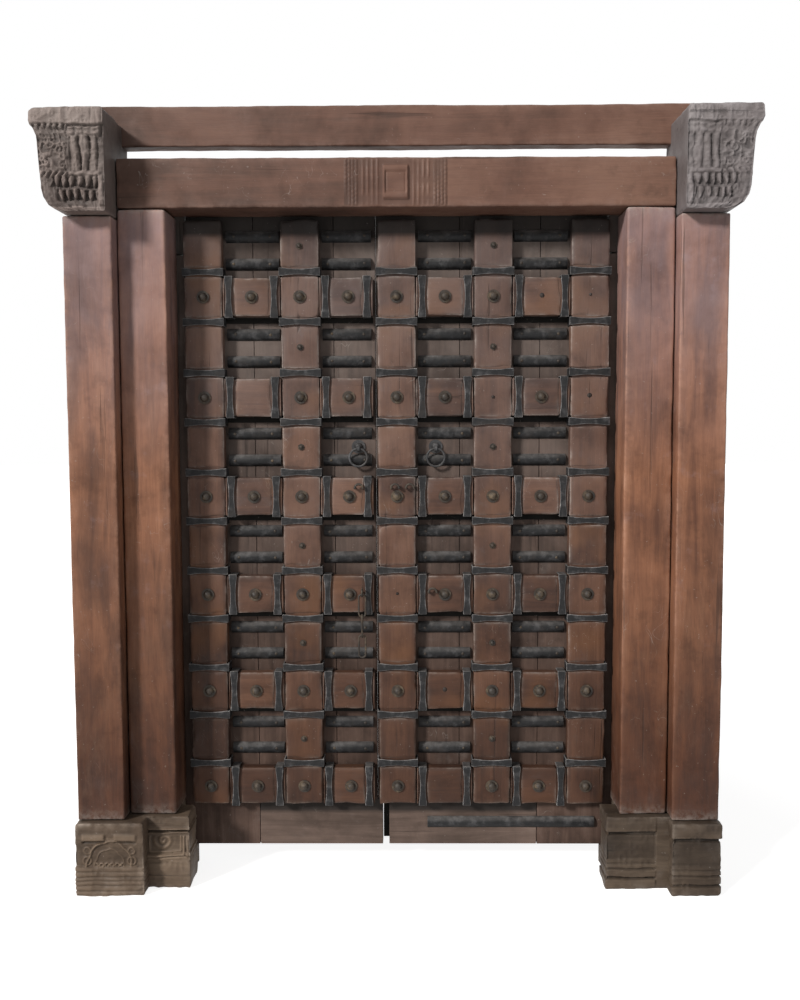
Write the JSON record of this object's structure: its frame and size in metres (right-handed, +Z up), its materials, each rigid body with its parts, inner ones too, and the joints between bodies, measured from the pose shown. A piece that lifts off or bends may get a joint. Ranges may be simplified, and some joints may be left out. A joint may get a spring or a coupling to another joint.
{
  "type": "carved temple door",
  "caption": "Double-leaf door of strapped and studded wooden grid on planks, hung on pintles in a post-and-beam frame with carved corbels and bases.",
  "frame": {"origin": "centre of the door's box in plan, on the floor under the base blocks", "axes": "+X to the viewer's right, +Y away from the viewer through the doorway, +Z up"},
  "size_m": [2.036, 0.338, 2.326],
  "materials": {
    "frame_wood": "waxed, worn",
    "leaf_wood": "waxed, worn",
    "plank_wood": "dull, dusty",
    "carved_wood": "weathered, dusty",
    "pivot_wood": "weathered",
    "strap_iron": "forged, dark",
    "stud_iron": "forged, worn"
  },
  "bodies": {
    "frame": {"left_base": "carved_wood", "right_base": "carved_wood", "left_outer_post": "frame_wood", "left_inner_post": "frame_wood", "right_inner_post": "frame_wood", "right_outer_post": "frame_wood", "lower_lintel": "frame_wood", "upper_beam": "frame_wood", "left_corbel": "carved_wood", "right_corbel": "carved_wood", "left_pivot_block": "pivot_wood", "right_pivot_block": "pivot_wood"},
    "left_leaf": {"left_stile_plank": "plank_wood", "left_middle_plank": "plank_wood", "left_meeting_plank": "plank_wood", "left_foot_board": "plank_wood", "left_batten_1": "leaf_wood", "left_batten_2": "leaf_wood", "left_rail_1": "leaf_wood", "left_rail_2": "leaf_wood", "left_rail_3": "leaf_wood", "left_rail_4": "leaf_wood", "left_rail_5": "leaf_wood", "left_rail_6": "leaf_wood", "left_batten_straps": "strap_iron", "left_rail_straps": "strap_iron", "left_recess_straps": "strap_iron", "left_large_studs": "stud_iron", "left_small_studs": "stud_iron", "left_ring_boss": "stud_iron", "left_lock_staple": "stud_iron", "chain_eye": "stud_iron"},
    "right_leaf": {"right_stile_plank": "plank_wood", "right_middle_plank": "plank_wood", "right_meeting_plank": "plank_wood", "right_foot_board": "plank_wood", "cover_batten": "leaf_wood", "right_batten_2": "leaf_wood", "right_batten_3": "leaf_wood", "right_rail_1": "leaf_wood", "right_rail_2": "leaf_wood", "right_rail_3": "leaf_wood", "right_rail_4": "leaf_wood", "right_rail_5": "leaf_wood", "right_rail_6": "leaf_wood", "right_batten_straps": "strap_iron", "right_rail_straps": "strap_iron", "right_recess_straps": "strap_iron", "right_foot_strap": "strap_iron", "right_large_studs": "stud_iron", "right_small_studs": "stud_iron", "right_ring_boss": "stud_iron", "right_lock_staples": "stud_iron", "right_low_staple": "stud_iron"},
    "left_ring": {"left_pull_ring": "stud_iron"},
    "right_ring": {"right_pull_ring": "stud_iron"},
    "link_1": {"chain_link_1": "stud_iron"},
    "link_2": {"chain_link_2": "stud_iron"},
    "link_3": {"chain_link_3": "stud_iron"}
  },
  "joints": [
    {"name": "left_leaf_swing", "type": "hinge", "parent": "frame", "child": "left_leaf", "pos_m": [-0.679, 0.124, 1], "axis": [0, 0, 1], "range_deg": [0, 95]},
    {"name": "right_leaf_swing", "type": "hinge", "parent": "frame", "child": "right_leaf", "pos_m": [0.679, 0.124, 1], "axis": [0, 0, -1], "range_deg": [0, 95]},
    {"name": "left_ring_swing", "type": "hinge", "parent": "left_leaf", "child": "left_ring", "pos_m": [-0.118, 0.077, 1.316], "axis": [-1, 0, 0], "range_deg": [0, 120]},
    {"name": "right_ring_swing", "type": "hinge", "parent": "right_leaf", "child": "right_ring", "pos_m": [0.118, 0.077, 1.316], "axis": [-1, 0, 0], "range_deg": [0, 120]},
    {"name": "link_1_swing", "type": "hinge", "parent": "left_leaf", "child": "link_1", "pos_m": [-0.10705, 0.034, 0.87505], "axis": [-1, 0, 0], "range_deg": [0, 75]},
    {"name": "link_2_swing", "type": "hinge", "parent": "link_1", "child": "link_2", "pos_m": [-0.10705, 0.034, 0.80655], "axis": [-1, 0, 0], "range_deg": [0, 60]},
    {"name": "link_3_swing", "type": "hinge", "parent": "link_2", "child": "link_3", "pos_m": [-0.10705, 0.034, 0.74965], "axis": [-1, 0, 0], "range_deg": [0, 60]}
  ]
}
